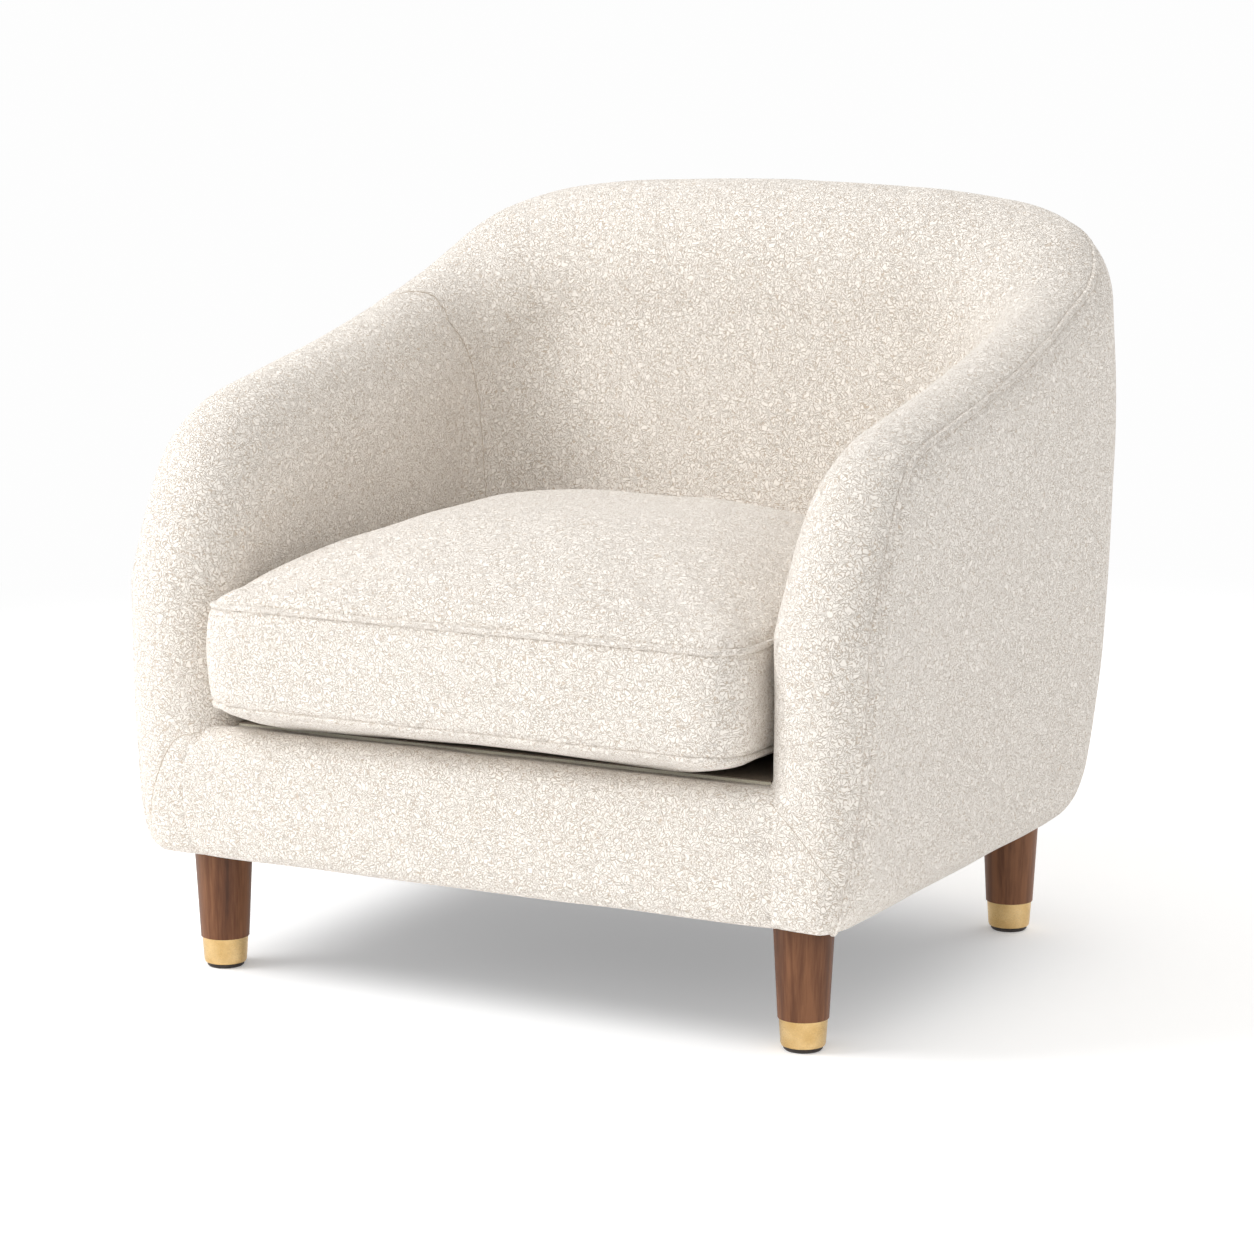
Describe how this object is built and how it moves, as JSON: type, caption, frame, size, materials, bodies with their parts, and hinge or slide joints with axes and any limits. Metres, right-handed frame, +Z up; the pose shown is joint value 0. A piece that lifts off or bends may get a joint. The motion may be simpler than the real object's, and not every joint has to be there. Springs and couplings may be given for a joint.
{
  "type": "upholstered armchair",
  "caption": "Upholstered tub armchair: curved wrap-round back and arms with an outer welt, a loose boxed seat cushion and turned wooden legs with metal tips.",
  "frame": {"origin": "on the floor, under the middle of the chair's outline", "axes": "+Z up, -Y is the front that the sitter faces, +X across the chair, its widest direction"},
  "size_m": [0.81, 0.7653, 0.7597],
  "materials": {
    "boucle": "cream boucle weave, soft and matt",
    "brass": "brushed satin",
    "foam": "open-cell foam with a thin fibre wrap",
    "glide": "matt dark brown",
    "lining": "thin black non-woven cloth",
    "plywood": "sanded birch plywood",
    "steel": "zinc plated",
    "timber": "planed beech",
    "walnut": "satin lacquered walnut",
    "webbing": "woven elastic",
    "welt": "the same boucle, cut on the bias and sewn round a cord",
    "zip": "cream woven tape with a nylon coil"
  },
  "bodies": {
    "chair": {"arm_foam_left": "foam", "arm_foam_right": "foam", "arm_front_cover_left": "boucle", "arm_front_cover_right": "boucle", "arm_front_foam_left": "foam", "arm_front_foam_right": "foam", "arm_outer_pad_left": "foam", "arm_outer_pad_right": "foam", "arm_panel_left": "plywood", "arm_panel_right": "plywood", "arm_post_left": "timber", "arm_post_right": "timber", "back_crest_rail": "timber", "back_foam": "foam", "back_lower_rail": "timber", "back_outer_pad": "foam", "back_post_left": "timber", "back_post_right": "timber", "back_webbing": "webbing", "corner_blocks": "timber", "corner_former_left": "plywood", "corner_former_right": "plywood", "deck_cover": "lining", "deck_pad": "foam", "dust_cover": "lining", "ferrule_front_left": "brass", "ferrule_front_right": "brass", "ferrule_rear_left": "brass", "ferrule_rear_right": "brass", "front_rail": "timber", "front_rail_cover": "boucle", "front_rail_foam": "foam", "hanger_bolts": "steel", "inside_arm_cover_left": "boucle", "inside_arm_cover_right": "boucle", "inside_back_cover": "boucle", "leg_front_left": "walnut", "leg_front_right": "walnut", "leg_glides": "glide", "leg_rear_left": "walnut", "leg_rear_right": "walnut", "outer_welt": "welt", "outside_arm_cover_left": "boucle", "outside_arm_cover_right": "boucle", "outside_back_cover": "boucle", "rear_rail": "timber", "seat_springs": "steel", "side_rail_left": "timber", "side_rail_right": "timber", "spring_clips": "steel", "tee_nuts": "steel"},
    "cushion": {"cushion_bottom_panel": "boucle", "cushion_boxing": "boucle", "cushion_foam": "foam", "cushion_top_panel": "boucle", "cushion_welt_bottom": "welt", "cushion_welt_top": "welt", "cushion_zip": "zip"},
    "zip_slider": {"cushion_zip_slider": "steel"}
  },
  "joints": [
    {"name": "cushion_lift", "type": "slide", "parent": "chair", "child": "cushion", "axis": [0, 0, 1], "range_m": [0, 0.36]},
    {"name": "zip_travel", "type": "slide", "parent": "cushion", "child": "zip_slider", "axis": [1, 0, 0], "range_m": [0, 0.342]}
  ]
}
